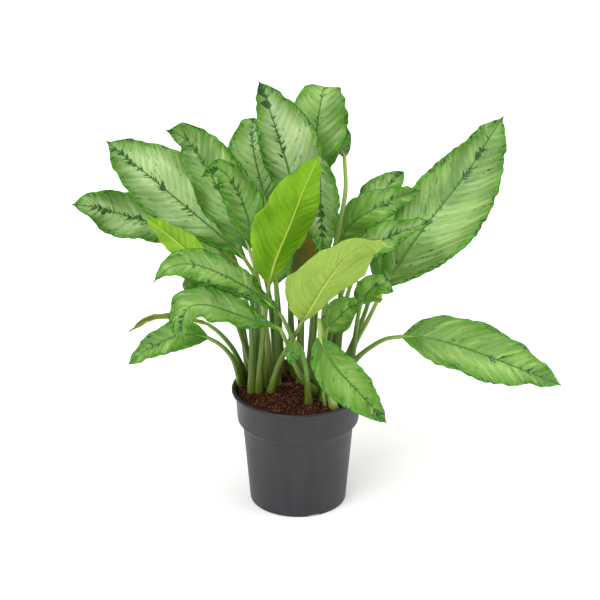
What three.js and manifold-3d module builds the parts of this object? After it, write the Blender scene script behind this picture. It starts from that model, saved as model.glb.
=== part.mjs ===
// Potted chinese evergreen: a clump of Aglaonema in a plastic grower's pot.
// Millimetres, +Z up, origin at the centre of the pot's base, front towards -Y.
import * as THREE from 'three';
import * as BufferGeometryUtils from 'three/addons/utils/BufferGeometryUtils.js';
import Module from 'manifold-3d';

// Pot
const potHeight = 175;
const lipRadius = 95;
const lipHeight = 6;
const lipEdge = 2;
const collarTopRadius = 89.5;
const collarFootRadius = 87;
const collarFootZ = 128;
const stepFootZ = 119;
const bodyTopRadius = 79.5;
const baseRadius = 69.5;
const baseEdge = 2;
const potWall = 2;
const floorThickness = 3;
const potSides = 64;
const drainNotches = 3;
const notchWidth = 17;
const notchHeight = 3;
const notchTurn = 20;
const floorHoles = 6;
const floorHoleRadius = 6;
const floorHoleCircle = 42;

// Soil
const soilTop = 172;
const gap = 0.3;

// Leaves
const stalkRings = 6;
const bladeStations = [0.05, 0.13, 0.24, 0.36, 0.48, 0.6, 0.71, 0.81, 0.9, 0.96];
const footRadius = 4.6;
const neckRadius = 2.7;
const ribThickness = 2;
const bladeThickness = 1.2;
const waveCount = 2.5;
const usualWidest = 0.44;

const leafGreen = { color: 0x86b46a, roughness: 0.42, metalness: 0 };
const leafDried = { color: 0x8f8a3c, roughness: 0.7, metalness: 0 };
const stalkGreen = { color: 0x5f7f35, roughness: 0.5, metalness: 0 };
const potPlastic = { color: 0x4c4a4f, roughness: 0.55, metalness: 0 };
const soilBrown = { color: 0x4a2f22, roughness: 0.95, metalness: 0 };

// Each leaf: its stalk from the soil, its midrib from blade base to tip, the blade's widest width,
// the way its upper side faces (base to tip), how far the halves fold up, how far the edges roll down,
// the height of the edge's ripple, and how much wider one half is than the other. widest is how far along
// the blade is broadest, where that isn't the usual place.
const leaves = [
  {
    name: 'leaf_crown_tall',
    stalk: [[-4, 34], [-10, 30, 260], [-10, 36, 360]],
    rib: [[-6, 45, 435], [-12, 56, 480], [-24, 62, 520], [-38, 68, 565], [-54, 66, 612]],
    width: 88, face: [[0.1, -0.95, 0.2]], fold: 10, roll: 0.06, wave: 3, lean: 0.26,
  },
  {
    name: 'leaf_crown_right',
    stalk: [[16, 34], [22, 40, 280], [24, 75, 380]],
    rib: [[20, 92, 430], [22, 104, 480], [26, 112, 524], [32, 126, 558], [36, 148, 574], [38, 172, 568]],
    width: 88, widest: 0.58, face: [[0.05, -0.95, 0.3], [0, -0.6, 0.8]], fold: 8, roll: 0.1, wave: 3, lean: 0,
  },
  {
    name: 'leaf_crown_back',
    stalk: [[-24, 40], [-30, 60, 290], [-40, 95, 370]],
    rib: [[-46, 115, 410], [-56, 130, 448], [-64, 142, 484], [-66, 158, 510], [-62, 176, 520]],
    width: 88, face: [[-0.1, -0.85, 0.5]], fold: 8, roll: 0.05, wave: 3, lean: 0,
  },
  {
    name: 'leaf_left_high',
    stalk: [[-46, 26], [-52, 30, 260], [-58, 42, 320]],
    rib: [
      [-76, 55, 350], [-110, 68, 380], [-160, 92, 415], [-208, 108, 452], [-245, 118, 480], [-272, 120, 504],
    ],
    width: 104, widest: 0.56, face: [[0.1, -0.85, 0.55], [0, -0.8, 0.6]],
    fold: 10, roll: 0.05, wave: 3, lean: 0.14,
  },
  {
    name: 'leaf_left_folded',
    stalk: [[-38, 12], [-44, 8, 250], [-54, 10, 325]],
    rib: [[-68, 16, 380], [-88, 30, 418], [-112, 45, 462], [-138, 58, 504], [-158, 62, 530], [-182, 50, 546]],
    width: 92, widest: 0.5, face: [[0.3, -0.8, 0.5]], fold: 20, roll: 0.05, wave: 3, lean: 0.02,
  },
  {
    name: 'leaf_left_inner',
    stalk: [[-56, 8], [-58, -14, 250], [-58, -20, 335]],
    rib: [[-62, -18, 405], [-74, -10, 455], [-90, -6, 490], [-108, -8, 510], [-132, -22, 505]],
    width: 56, face: [[0.35, -0.85, 0.3], [0.2, -0.7, 0.7]], fold: 16, roll: 0.05, wave: 2, lean: 0,
  },
  {
    name: 'leaf_far_left',
    stalk: [[-70, 40], [-84, 66, 260], [-108, 98, 340]],
    rib: [[-134, 112, 358], [-190, 122, 372], [-245, 116, 391], [-288, 106, 408], [-322, 94, 418]],
    width: 72, widest: 0.6, face: [[0, -0.6, 0.8], [0, -0.8, 0.6]], fold: 6, roll: 0.1, wave: 6, lean: 0,
  },
  {
    name: 'leaf_left_bright',
    stalk: [[-60, 36], [-86, 28, 260], [-108, 30, 320]],
    rib: [[-120, 32, 345], [-150, 36, 366], [-182, 39, 394], [-214, 38, 420]],
    width: 50, face: [[-0.4, 0.75, 0.5]], fold: 12, roll: 0.05, wave: 2, lean: 0,
  },
  {
    name: 'leaf_front_underside',
    stalk: [[-56, -16], [-52, -34, 240], [-45, -42, 310]],
    rib: [[-40, -48, 355], [-33, -58, 392], [-20, -72, 432], [-8, -84, 468], [8, -98, 518], [28, -110, 570]],
    width: 84, widest: 0.5, face: [[-0.15, 0.93, 0.3]], fold: 8, roll: 0.1, wave: 3, lean: 0.2,
  },
  {
    name: 'leaf_right_large',
    stalk: [[66, 24], [82, 0, 245], [102, 2, 285]],
    rib: [
      [121, 12, 325], [146, 28, 361], [176, 45, 399], [208, 60, 437],
      [238, 75, 473], [264, 86, 513], [288, 90, 552],
    ],
    width: 114, widest: 0.48, face: [[0, -0.92, 0.4]], fold: 7, roll: 0.05, wave: 4, lean: 0.14,
  },
  {
    name: 'leaf_right_drooping',
    stalk: [[60, -8], [80, -26, 228], [122, -40, 268]],
    rib: [
      [146, -46, 275], [176, -53, 277], [212, -62, 272], [260, -72, 259], [312, -84, 242], [365, -100, 226],
    ],
    width: 92, face: [[0.05, -0.58, 0.81]], fold: 10, roll: 0.12, wave: 5, lean: 0,
  },
  {
    name: 'leaf_over_rim',
    stalk: [[50, -62], [41, -78, 235], [33, -88, 290], [29, -96, 322], [28, -106, 326]],
    rib: [
      [30, -112, 306], [36, -117, 288], [54, -125, 262], [80, -131, 234], [102, -136, 210], [122, -140, 187],
    ],
    width: 62, face: [[0, -0.9, 0.4]], fold: 8, roll: 0.1, wave: 3, lean: 0.12,
  },
  {
    name: 'leaf_centre_underside',
    stalk: [[-40, -18], [-25, -34, 232], [-6, -50, 275]],
    rib: [
      [6, -68, 308], [22, -86, 348], [40, -100, 386], [63, -114, 424], [91, -124, 448], [122, -130, 452],
    ],
    width: 130, widest: 0.54, face: [[-0.4, 0.8, 0.45]], fold: 4, roll: 0.12, wave: 4, lean: 0.12,
  },
  {
    name: 'leaf_left_arching',
    stalk: [[30, -8], [8, -48, 230], [-12, -62, 290]],
    rib: [
      [-22, -66, 314], [-42, -72, 340], [-72, -80, 366], [-110, -90, 392],
      [-142, -100, 408], [-172, -110, 409], [-196, -119, 390],
    ],
    width: 52, widest: 0.6, face: [[0.2, -0.75, 0.6], [0, -0.6, 0.8], [-0.4, -0.6, 0.7]],
    fold: 16, roll: 0.1, wave: 3, lean: 0,
  },
  {
    name: 'leaf_left_front',
    stalk: [[34, -26], [2, -70, 228], [-16, -88, 286]],
    rib: [
      [-24, -94, 308], [-52, -106, 324], [-85, -117, 342], [-116, -128, 358],
      [-144, -136, 363], [-158, -142, 338], [-153, -147, 306],
    ],
    width: 60, widest: 0.58, face: [[0.1, -0.6, 0.8], [0, -0.7, 0.7], [-0.6, -0.75, 0.25]],
    fold: 20, roll: 0.1, wave: 3, lean: 0,
  },
  {
    name: 'leaf_left_small',
    stalk: [[-66, -16], [-66, -32, 280]],
    rib: [[-76, -42, 340], [-90, -48, 354], [-106, -54, 362], [-126, -62, 366], [-158, -74, 354]],
    width: 34, face: [[0.1, -0.7, 0.7]], fold: 14, roll: 0.1, wave: 1, lean: 0,
  },
  {
    name: 'leaf_left_hanging',
    stalk: [[-54, 52], [-70, 54, 300]],
    rib: [[-84, 50, 328], [-104, 50, 340], [-128, 52, 332], [-146, 56, 310], [-158, 60, 280]],
    width: 58, face: [[0.3, 0.85, 0.4]], fold: 8, roll: 0.1, wave: 3, lean: 0,
  },
  {
    name: 'leaf_low_left',
    stalk: [[-80, 10], [-96, -30, 240]],
    rib: [[-126, -52, 276], [-160, -64, 286], [-190, -72, 279], [-215, -76, 265], [-236, -80, 248]],
    width: 46, face: [[0, -0.65, 0.75]], fold: 10, roll: 0.1, wave: 3, lean: 0,
  },
  {
    name: 'leaf_dried',
    stalk: [[-72, 22], [-94, -2, 238]],
    rib: [[-128, -14, 280], [-165, -22, 294], [-202, -28, 294], [-238, -34, 278]],
    width: 15, face: [[0, -0.2, 0.98]], fold: 30, roll: 0.1, wave: 3, lean: 0,
  },
  {
    name: 'leaf_inner_upright',
    stalk: [[-30, 2], [-30, -4, 280]],
    rib: [[-30, -14, 342], [-29, -12, 366], [-26, -9, 392], [-22, -6, 422]],
    width: 44, face: [[0, -0.95, 0.3]], fold: 10, roll: 0.05, wave: 1, lean: 0,
  },
  {
    name: 'leaf_inner_olive',
    stalk: [[2, 8], [6, 8, 280]],
    rib: [[8, 12, 336], [8, 16, 380], [4, 22, 420], [0, 26, 456]],
    width: 62, face: [[0.1, -0.95, 0.2]], fold: 12, roll: 0.05, wave: 2, lean: 0,
  },
  {
    name: 'leaf_inner_hanging',
    stalk: [[16, 12], [26, 14, 320], [32, 28, 450], [31, 26, 500]],
    rib: [[30, 14, 520], [30, -2, 495], [32, -16, 440], [36, -28, 382]],
    width: 54, face: [[0, -0.95, 0.1]], fold: 10, roll: 0.1, wave: 2, lean: 0,
  },
  {
    name: 'leaf_inner_right',
    stalk: [[44, 30], [60, 34, 300]],
    rib: [[58, 38, 375], [74, 42, 408], [100, 46, 426], [132, 50, 442], [172, 52, 456]],
    width: 56, face: [[0, -0.75, 0.65]], fold: 14, roll: 0.1, wave: 2, lean: 0,
  },
  {
    name: 'leaf_back_right_high',
    stalk: [[46, 46], [66, 72, 310]],
    rib: [[92, 92, 392], [112, 106, 420], [132, 118, 440], [152, 132, 454]],
    width: 58, face: [[-0.1, -0.7, 0.7]], fold: 10, roll: 0.1, wave: 2, lean: 0,
  },
  {
    name: 'leaf_right_silver',
    stalk: [[52, 4], [64, 2, 290]],
    rib: [[80, 0, 352], [95, -10, 386], [120, -20, 412], [152, -26, 430], [186, -30, 442]],
    width: 54, face: [[-0.2, -0.45, 0.85]], fold: 12, roll: 0.08, wave: 2, lean: 0,
  },
  {
    name: 'leaf_right_curled',
    stalk: [[72, 0], [82, -12, 270]],
    rib: [[88, -30, 318], [98, -44, 342], [112, -54, 356], [132, -62, 350]],
    width: 44, face: [[0.1, -0.85, 0.45]], fold: 10, roll: 0.1, wave: 2, lean: 0,
  },
  {
    name: 'leaf_centre_low',
    stalk: [[36, -44], [36, -36, 240]],
    rib: [[40, -36, 278], [54, -42, 300], [70, -50, 320], [88, -56, 334]],
    width: 50, face: [[-0.2, -0.8, 0.5]], fold: 10, roll: 0.05, wave: 1, lean: 0,
  },
  {
    name: 'leaf_new_small',
    stalk: [[16, -52], [10, -86, 250], [1, -98, 288]],
    rib: [[-4, -103, 294], [-7, -106, 280], [-10, -108, 260]],
    width: 22, face: [[0, -0.9, 0.4]], fold: 12, roll: 0.05, wave: 0, lean: 0,
  },
  {
    name: 'leaf_tall_stalk',
    stalk: [[36, 8], [38, -2, 300], [48, 4, 375], [65, 48, 440]],
    rib: [[66, 110, 484], [50, 154, 504], [36, 190, 512], [26, 228, 510]],
    width: 46, face: [[0, -0.3, 0.95]], fold: 10, roll: 0.08, wave: 3, lean: 0,
  },
  {
    name: 'leaf_back_left',
    stalk: [[-30, 66], [-44, 92, 290]],
    rib: [[-64, 122, 350], [-88, 165, 398], [-112, 210, 422], [-136, 252, 424]],
    width: 84, face: [[0, -0.6, 0.8]], fold: 10, roll: 0.08, wave: 4, lean: 0,
  },
  {
    name: 'leaf_back_middle',
    stalk: [[2, 64], [6, 96, 300]],
    rib: [[8, 128, 372], [4, 170, 425], [-2, 215, 462], [-8, 256, 484]],
    width: 86, face: [[0, -0.7, 0.7]], fold: 10, roll: 0.08, wave: 4, lean: 0,
  },
  {
    name: 'leaf_back_right',
    stalk: [[34, 62], [62, 104, 270]],
    rib: [[84, 132, 318], [110, 168, 352], [138, 208, 370], [166, 248, 372]],
    width: 82, face: [[0, -0.5, 0.85]], fold: 10, roll: 0.08, wave: 4, lean: 0,
  },
  {
    name: 'leaf_back_low_left',
    stalk: [[-42, 62], [-78, 108, 242]],
    rib: [[-98, 134, 274], [-128, 172, 300], [-155, 212, 304], [-178, 246, 288]],
    width: 78, face: [[0, -0.3, 0.95]], fold: 10, roll: 0.08, wave: 4, lean: 0,
  },
  {
    name: 'leaf_back_low_right',
    stalk: [[62, 46], [94, 84, 244]],
    rib: [[114, 112, 292], [142, 152, 322], [168, 192, 332], [194, 230, 326]],
    width: 72, face: [[0, -0.3, 0.95]], fold: 10, roll: 0.08, wave: 4, lean: 0,
  },
];

// Short sheathed shoots between the stalks: foot, lean towards the top, height and radius.
const canes = [
  { name: 'cane_left', foot: [-80, 24], lean: [-5, 1], height: 28, radius: 3.2 },
  { name: 'cane_centre', foot: [-48, -6], lean: [-2, -2], height: 60, radius: 5 },
  { name: 'cane_right', foot: [58, 15], lean: [2, -2], height: 42, radius: 4 },
  { name: 'cane_front', foot: [39, -60], lean: [-4, 2], height: 22, radius: 3.6 },
  { name: 'cane_back', foot: [-12, 54], lean: [-2, 4], height: 50, radius: 5 },
];

const wasm = await Module();
wasm.setup();

const vector = (point) => new THREE.Vector3(...point);

// A closed geometry as a solid that can be joined and cut.
function toSolid(geometry) {
  const bare = new THREE.BufferGeometry();
  bare.setAttribute('position', geometry.getAttribute('position').clone());
  if (geometry.index) bare.setIndex(geometry.index.clone());
  const merged = BufferGeometryUtils.mergeVertices(bare, 1e-4);
  return new wasm.Manifold(new wasm.Mesh({
    numProp: 3,
    vertProperties: merged.getAttribute('position').array,
    triVerts: new Uint32Array(merged.index.array),
  }));
}

function toGeometry(solid) {
  const mesh = solid.getMesh();
  const geometry = new THREE.BufferGeometry();
  geometry.setAttribute('position', new THREE.BufferAttribute(mesh.vertProperties, 3));
  geometry.setIndex(new THREE.BufferAttribute(mesh.triVerts, 1));
  return geometry;
}

// A profile of [radius, z] points turned about the Z axis.
function turned(profile, sides) {
  const points = profile.map(([radius, z]) => new THREE.Vector2(radius, z));
  return new THREE.LatheGeometry(points, sides).rotateX(Math.PI / 2);
}

function potGeometry() {
  const profile = [
    [0, 0],
    [baseRadius - baseEdge, 0],
    [baseRadius, baseEdge],
    [bodyTopRadius, stepFootZ],
    [collarFootRadius, collarFootZ],
    [collarTopRadius, potHeight - lipHeight],
    [lipRadius, potHeight - lipHeight + lipEdge],
    [lipRadius, potHeight - lipEdge],
    [lipRadius - lipEdge, potHeight],
    [collarTopRadius - potWall, potHeight],
    [collarFootRadius - potWall, collarFootZ],
    [bodyTopRadius - potWall, stepFootZ],
    [baseRadius - potWall, floorThickness],
    [0, floorThickness],
  ];
  let pot = toSolid(turned(profile, potSides));
  for (let i = 0; i < drainNotches; i += 1) {
    const turn = THREE.MathUtils.degToRad(notchTurn - 90 + (360 / drainNotches) * i);
    const notch = new THREE.BoxGeometry(3 * potWall + 6, notchWidth, 2 * notchHeight);
    notch.translate(baseRadius, 0, 0).rotateZ(turn);
    pot = pot.subtract(toSolid(notch));
  }
  for (let i = 0; i < floorHoles; i += 1) {
    const turn = (Math.PI * 2 / floorHoles) * i;
    const hole = new THREE.CylinderGeometry(floorHoleRadius, floorHoleRadius, 4 * floorThickness, 16);
    hole.rotateX(Math.PI / 2).translate(floorHoleCircle, 0, 0).rotateZ(turn);
    pot = pot.subtract(toSolid(hole));
  }
  return toGeometry(pot);
}

function soilGeometry() {
  const inset = potWall + gap;
  const rise = (soilTop - collarFootZ) / (potHeight - collarFootZ);
  const topRadius = THREE.MathUtils.lerp(collarFootRadius, collarTopRadius, rise);
  return turned([
    [0, floorThickness + gap],
    [baseRadius - inset, floorThickness + gap],
    [bodyTopRadius - inset, stepFootZ],
    [collarFootRadius - inset, collarFootZ],
    [topRadius - inset, soilTop],
    [0, soilTop],
  ], potSides);
}

// Half-width of the blade as a share of its widest: rounded base, drawn-out tip.
const outline = (along, widest) => {
  const skewed = along ** (Math.log(0.5) / Math.log(widest));
  return Math.sin(Math.PI * skewed) ** 0.8 * (1 - 0.25 * along ** 4);
};

// The direction that the upper side faces, blended along the blade.
function faceAt(face, along) {
  const place = along * (face.length - 1);
  const index = Math.min(Math.floor(place), face.length - 2);
  if (index < 0) return vector(face[0]);
  return vector(face[index]).lerp(vector(face[index + 1]), place - index);
}

// Eight points round a stalk: [sideways, upwards].
function stalkSection(radius) {
  return Array.from({ length: 8 }, (_, i) => {
    const angle = Math.PI - (Math.PI / 4) * i;
    return [radius * Math.cos(angle), radius * Math.sin(angle)];
  });
}

// Eight points round a blade: edge, three on top, edge, three below, [sideways, upwards].
function bladeSection(leaf, along) {
  const breadth = outline(along, leaf.widest ?? usualWidest);
  const half = (share) => (leaf.width / 2) * breadth * (1 + leaf.lean * Math.sign(share));
  const settle = Math.exp(-along * 14);
  const rib = ribThickness * (1 - 0.5 * along) + (2 * neckRadius - ribThickness) * settle;
  const web = bladeThickness * (1 - 0.3 * along) + (1.4 * neckRadius - bladeThickness) * settle;
  const fold = THREE.MathUtils.degToRad(leaf.fold);
  const rise = (share) => {
    const ripple = leaf.wave * breadth * Math.sin(2 * Math.PI * waveCount * along + (share < 0 ? 0 : 2));
    const reach = half(share);
    return reach * Math.abs(share) * Math.sin(fold) + (ripple - leaf.roll * reach) * share * share;
  };
  const across = (share) => half(share) * share * Math.cos(fold);
  const at = (share, thickness) => [across(share), rise(share) + thickness];
  return [
    at(-1, 0), at(-0.5, web / 2), at(0, rib / 2), at(0.5, web / 2),
    at(1, 0), at(0.5, -web / 2), at(0, -rib / 2), at(-0.5, -web / 2),
  ];
}

// One leaf as a loft: stalk rings, blade rings, and a point at the tip.
function leafGeometry(leaf) {
  const foot = [leaf.stalk[0][0], leaf.stalk[0][1], soilTop + gap];
  const path = [foot, ...leaf.stalk.slice(1), ...leaf.rib].map(vector);
  const curve = new THREE.CatmullRomCurve3(path, false, 'centripetal');
  const lengths = curve.getLengths(400);
  const neck = lengths[Math.round((400 * leaf.stalk.length) / (path.length - 1))] / lengths[400];

  const rings = [];
  const addRing = (u, section, face) => {
    const centre = curve.getPointAt(u);
    const tangent = curve.getTangentAt(u);
    const side = tangent.clone().cross(face).normalize();
    const up = side.clone().cross(tangent);
    rings.push(section.map(([a, b]) => centre.clone().addScaledVector(side, a).addScaledVector(up, b)));
    return tangent;
  };
  for (let i = 0; i <= stalkRings; i += 1) {
    const share = i / stalkRings;
    const radius = THREE.MathUtils.lerp(footRadius, neckRadius, share);
    const tangent = addRing(neck * share, stalkSection(radius), faceAt(leaf.face, 0));
    if (i === 0) {
      rings[0].forEach((point) => point.addScaledVector(tangent, (foot[2] - point.z) / tangent.z));
    }
  }
  for (const along of bladeStations) {
    addRing(neck + (1 - neck) * along, bladeSection(leaf, along), faceAt(leaf.face, along));
  }
  return loft(rings, vector(foot), path.at(-1));
}

// A closed skin over rings of equal size, with a point at each end. Its upper and lower halves are split
// along matching diagonals, so that a thin blade's two sides stay parallel.
function loft(rings, start, end) {
  const count = rings[0].length;
  const points = [start, ...rings.flat(), end];
  const index = [];
  const last = points.length - 1;
  for (let k = 0; k < count; k += 1) {
    const next = (k + 1) % count;
    index.push(0, 1 + next, 1 + k);
    for (let r = 0; r < rings.length - 1; r += 1) {
      const here = 1 + r * count;
      const there = here + count;
      if (k < count / 2) {
        index.push(here + k, there + next, there + k);
        index.push(here + k, here + next, there + next);
      } else {
        index.push(here + k, here + next, there + k);
        index.push(here + next, there + next, there + k);
      }
    }
    const top = 1 + (rings.length - 1) * count;
    index.push(last, top + k, top + next);
  }
  const geometry = new THREE.BufferGeometry();
  geometry.setAttribute('position', new THREE.Float32BufferAttribute(points.flatMap((p) => p.toArray()), 3));
  geometry.setIndex(index);
  return geometry;
}

// A short shoot: round, narrowing to a blunt top, leaning a little.
function caneGeometry({ foot, lean, height, radius }) {
  const shares = [0, 0.35, 0.8, 1];
  const widths = [1, 0.92, 0.6, 0.25];
  const rings = shares.map((share, i) => stalkSection(radius * widths[i]).map(([a, b]) => new THREE.Vector3(
    foot[0] + lean[0] * share + a,
    foot[1] + lean[1] * share - b,
    soilTop + gap + height * share,
  )));
  const start = new THREE.Vector3(foot[0], foot[1], soilTop + gap);
  const end = new THREE.Vector3(foot[0] + lean[0], foot[1] + lean[1], soilTop + gap + height + 1);
  return loft(rings, start, end);
}

const plant = new THREE.Group();

function add(name, geometry, finish) {
  const mesh = new THREE.Mesh(geometry, new THREE.MeshStandardMaterial(finish));
  mesh.name = name;
  plant.add(mesh);
}

add('pot', potGeometry(), potPlastic);
add('soil', soilGeometry(), soilBrown);
canes.forEach((cane) => add(cane.name, caneGeometry(cane), stalkGreen));
for (const leaf of leaves) {
  add(leaf.name, leafGeometry(leaf), leaf.name === 'leaf_dried' ? leafDried : leafGreen);
}

export default plant;
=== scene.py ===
import bpy
import math
import random
import bmesh
import numpy as np
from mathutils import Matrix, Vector, noise


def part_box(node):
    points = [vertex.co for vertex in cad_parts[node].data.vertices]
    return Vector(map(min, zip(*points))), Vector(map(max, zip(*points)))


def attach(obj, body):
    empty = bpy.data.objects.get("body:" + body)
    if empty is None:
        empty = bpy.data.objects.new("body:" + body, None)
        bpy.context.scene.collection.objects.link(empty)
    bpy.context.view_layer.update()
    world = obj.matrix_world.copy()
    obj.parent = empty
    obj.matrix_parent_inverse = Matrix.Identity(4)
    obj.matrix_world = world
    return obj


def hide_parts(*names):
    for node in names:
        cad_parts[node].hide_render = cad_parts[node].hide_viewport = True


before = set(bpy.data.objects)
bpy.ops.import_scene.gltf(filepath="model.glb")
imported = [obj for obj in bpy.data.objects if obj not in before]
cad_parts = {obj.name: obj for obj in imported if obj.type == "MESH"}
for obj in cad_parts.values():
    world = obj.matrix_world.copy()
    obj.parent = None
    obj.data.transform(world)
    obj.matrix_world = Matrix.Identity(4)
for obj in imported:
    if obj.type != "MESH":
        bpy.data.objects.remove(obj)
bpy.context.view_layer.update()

mm = 0.001

studio = {
    "elevation": 24, "distance": 3.6, "lens": 153.4, "sensor": 36, "aim": (0.0028, 0, 0.3103),
    "floorSize": 60, "worldLight": 0.3, "floorGlow": 0.14,
    "lamps": {  # direction from the plant, strength, width of the source in degrees
        "key softbox": ((-0.62, -0.72, 0.95), 1.65, 50),
        "overhead softbox": ((0.15, 0.2, 1), 1.1, 70),
        "edge softbox": ((0.95, -0.25, 0.55), 0.6, 30),
    },
}


def linear(hexColour):  # sRGB hex to linear RGBA
    parts = [int(hexColour[i:i + 2], 16) / 255 for i in (1, 3, 5)]
    return tuple(c / 12.92 if c <= 0.04045 else ((c + 0.055) / 1.055) ** 2.4 for c in parts) + (1,)


# one node with its settings and the sockets that feed it; a socket goes by its name, or by its number
# in Math (0 to 2), Map Range (0 value, 1 and 2 from, 3 and 4 to) and Mix (0 factor, 6 and 7 the colours)
def addNode(tree, kind, settings=None, links=None):
    node = tree.nodes.new(kind)
    for key, value in (settings or {}).items():
        if isinstance(key, str) and hasattr(node, key):
            setattr(node, key, value)
        else:
            node.inputs[key].default_value = value
    for key, source in (links or {}).items():
        socket = source if isinstance(source, bpy.types.NodeSocket) else source.outputs[0]
        tree.links.new(socket, node.inputs[key])
    return node


def newMaterial(name):
    material = bpy.data.materials.new(name)
    material.use_nodes = True
    tree = material.node_tree
    return material, tree, tree.nodes["Principled BSDF"]


def setRamp(ramp, stops):  # places and colours, from the first to the last
    for element, (place, colour) in zip(ramp.elements, (stops[0], stops[-1])):
        element.position = place
        element.color = linear(colour)
    for place, colour in stops[1:-1]:
        ramp.elements.new(place).color = linear(colour)


def letLightIn(shader, weight):  # leaf tissue glows slightly green where light enters it
    shader.inputs["Subsurface Weight"].default_value = weight
    shader.inputs["Subsurface Radius"].default_value = (0.5, 1, 0.25)
    shader.inputs["Subsurface Scale"].default_value = 0.002


def clearSelection():
    if bpy.context.object and bpy.context.object.mode != "OBJECT":
        bpy.ops.object.mode_set(mode="OBJECT")
    bpy.ops.object.select_all(action="DESELECT")


def makeActive(piece):
    clearSelection()
    piece.select_set(True)
    bpy.context.view_layer.objects.active = piece


def applyModifiers(piece):
    makeActive(piece)
    for modifier in list(piece.modifiers):
        bpy.ops.object.modifier_apply(modifier=modifier.name)


def joinPieces(pieces, name):
    makeActive(pieces[0])
    for piece in pieces:
        piece.select_set(True)
    bpy.ops.object.join()
    pieces[0].name = name
    pieces[0].data.name = name
    return pieces[0]


def bladeReadings(tree):  # what the mesh stores for each point of a blade
    blade = addNode(tree, "ShaderNodeAttribute", {"attribute_name": "blade"})
    leaf = addNode(tree, "ShaderNodeAttribute", {"attribute_name": "leaf"})
    bladeParts = addNode(tree, "ShaderNodeSeparateXYZ", {}, {0: blade.outputs["Vector"]})
    leafParts = addNode(tree, "ShaderNodeSeparateXYZ", {}, {0: leaf.outputs["Vector"]})
    return {
        "vein": bladeParts.outputs[0], "across": bladeParts.outputs[1], "edge": bladeParts.outputs[2],
        "share": leafParts.outputs[0], "tone": leafParts.outputs[1], "seed": leafParts.outputs[2],
    }


def bladeNoise(tree, readings, veinMm, acrossMm, shift, detail):  # flecks drawn out along the side veins
    x = addNode(tree, "ShaderNodeMath", {"operation": "DIVIDE", 1: veinMm}, {0: readings["vein"]})
    y = addNode(tree, "ShaderNodeMath", {"operation": "DIVIDE", 1: acrossMm}, {0: readings["across"]})
    z = addNode(tree, "ShaderNodeMath",
                {"operation": "MULTIPLY_ADD", 1: 7.3, 2: shift}, {0: readings["seed"]})
    place = addNode(tree, "ShaderNodeCombineXYZ", {}, {0: x, 1: y, 2: z})
    return addNode(tree, "ShaderNodeTexNoise",
                   {"Scale": 1, "Detail": detail, "Roughness": 0.55}, {"Vector": place})


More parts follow.
